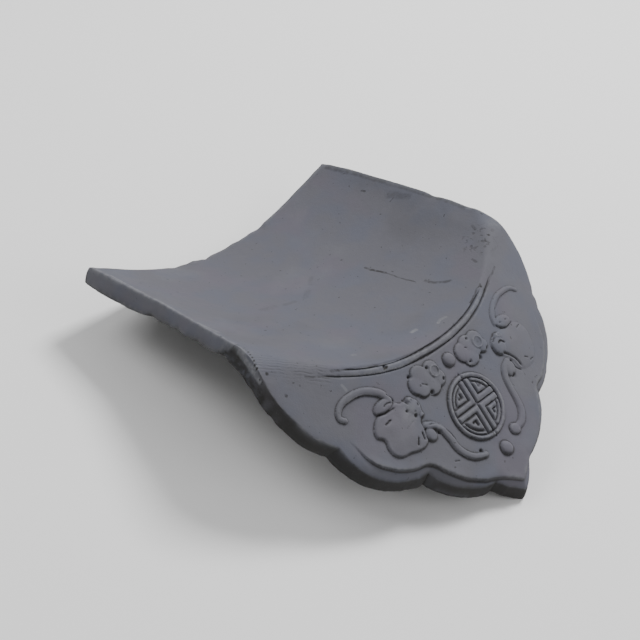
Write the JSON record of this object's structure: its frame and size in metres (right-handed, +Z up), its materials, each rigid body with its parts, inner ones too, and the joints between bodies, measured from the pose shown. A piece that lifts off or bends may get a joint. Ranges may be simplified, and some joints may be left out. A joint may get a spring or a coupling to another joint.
{
  "type": "drip tile",
  "caption": "Eaves roof tile of grey fired clay: a tapered troughed pan whose front edge turns down into a lobed plate with moulded bats, blossoms and a key-fret roundel.",
  "frame": {"origin": "middle of the ground area the tile lies over, at ground level", "axes": "+Z up; +Y from the drip plate towards the back edge, +X to the right as seen from the front; the loose tile stands on its drip tip and the underside of its back edge"},
  "size_m": [0.2012, 0.243, 0.0707],
  "materials": {
    "grey_clay": "unglazed, matt, weathered"
  },
  "bodies": {
    "root": {"drip_tile": "grey_clay"}
  },
  "joints": []
}
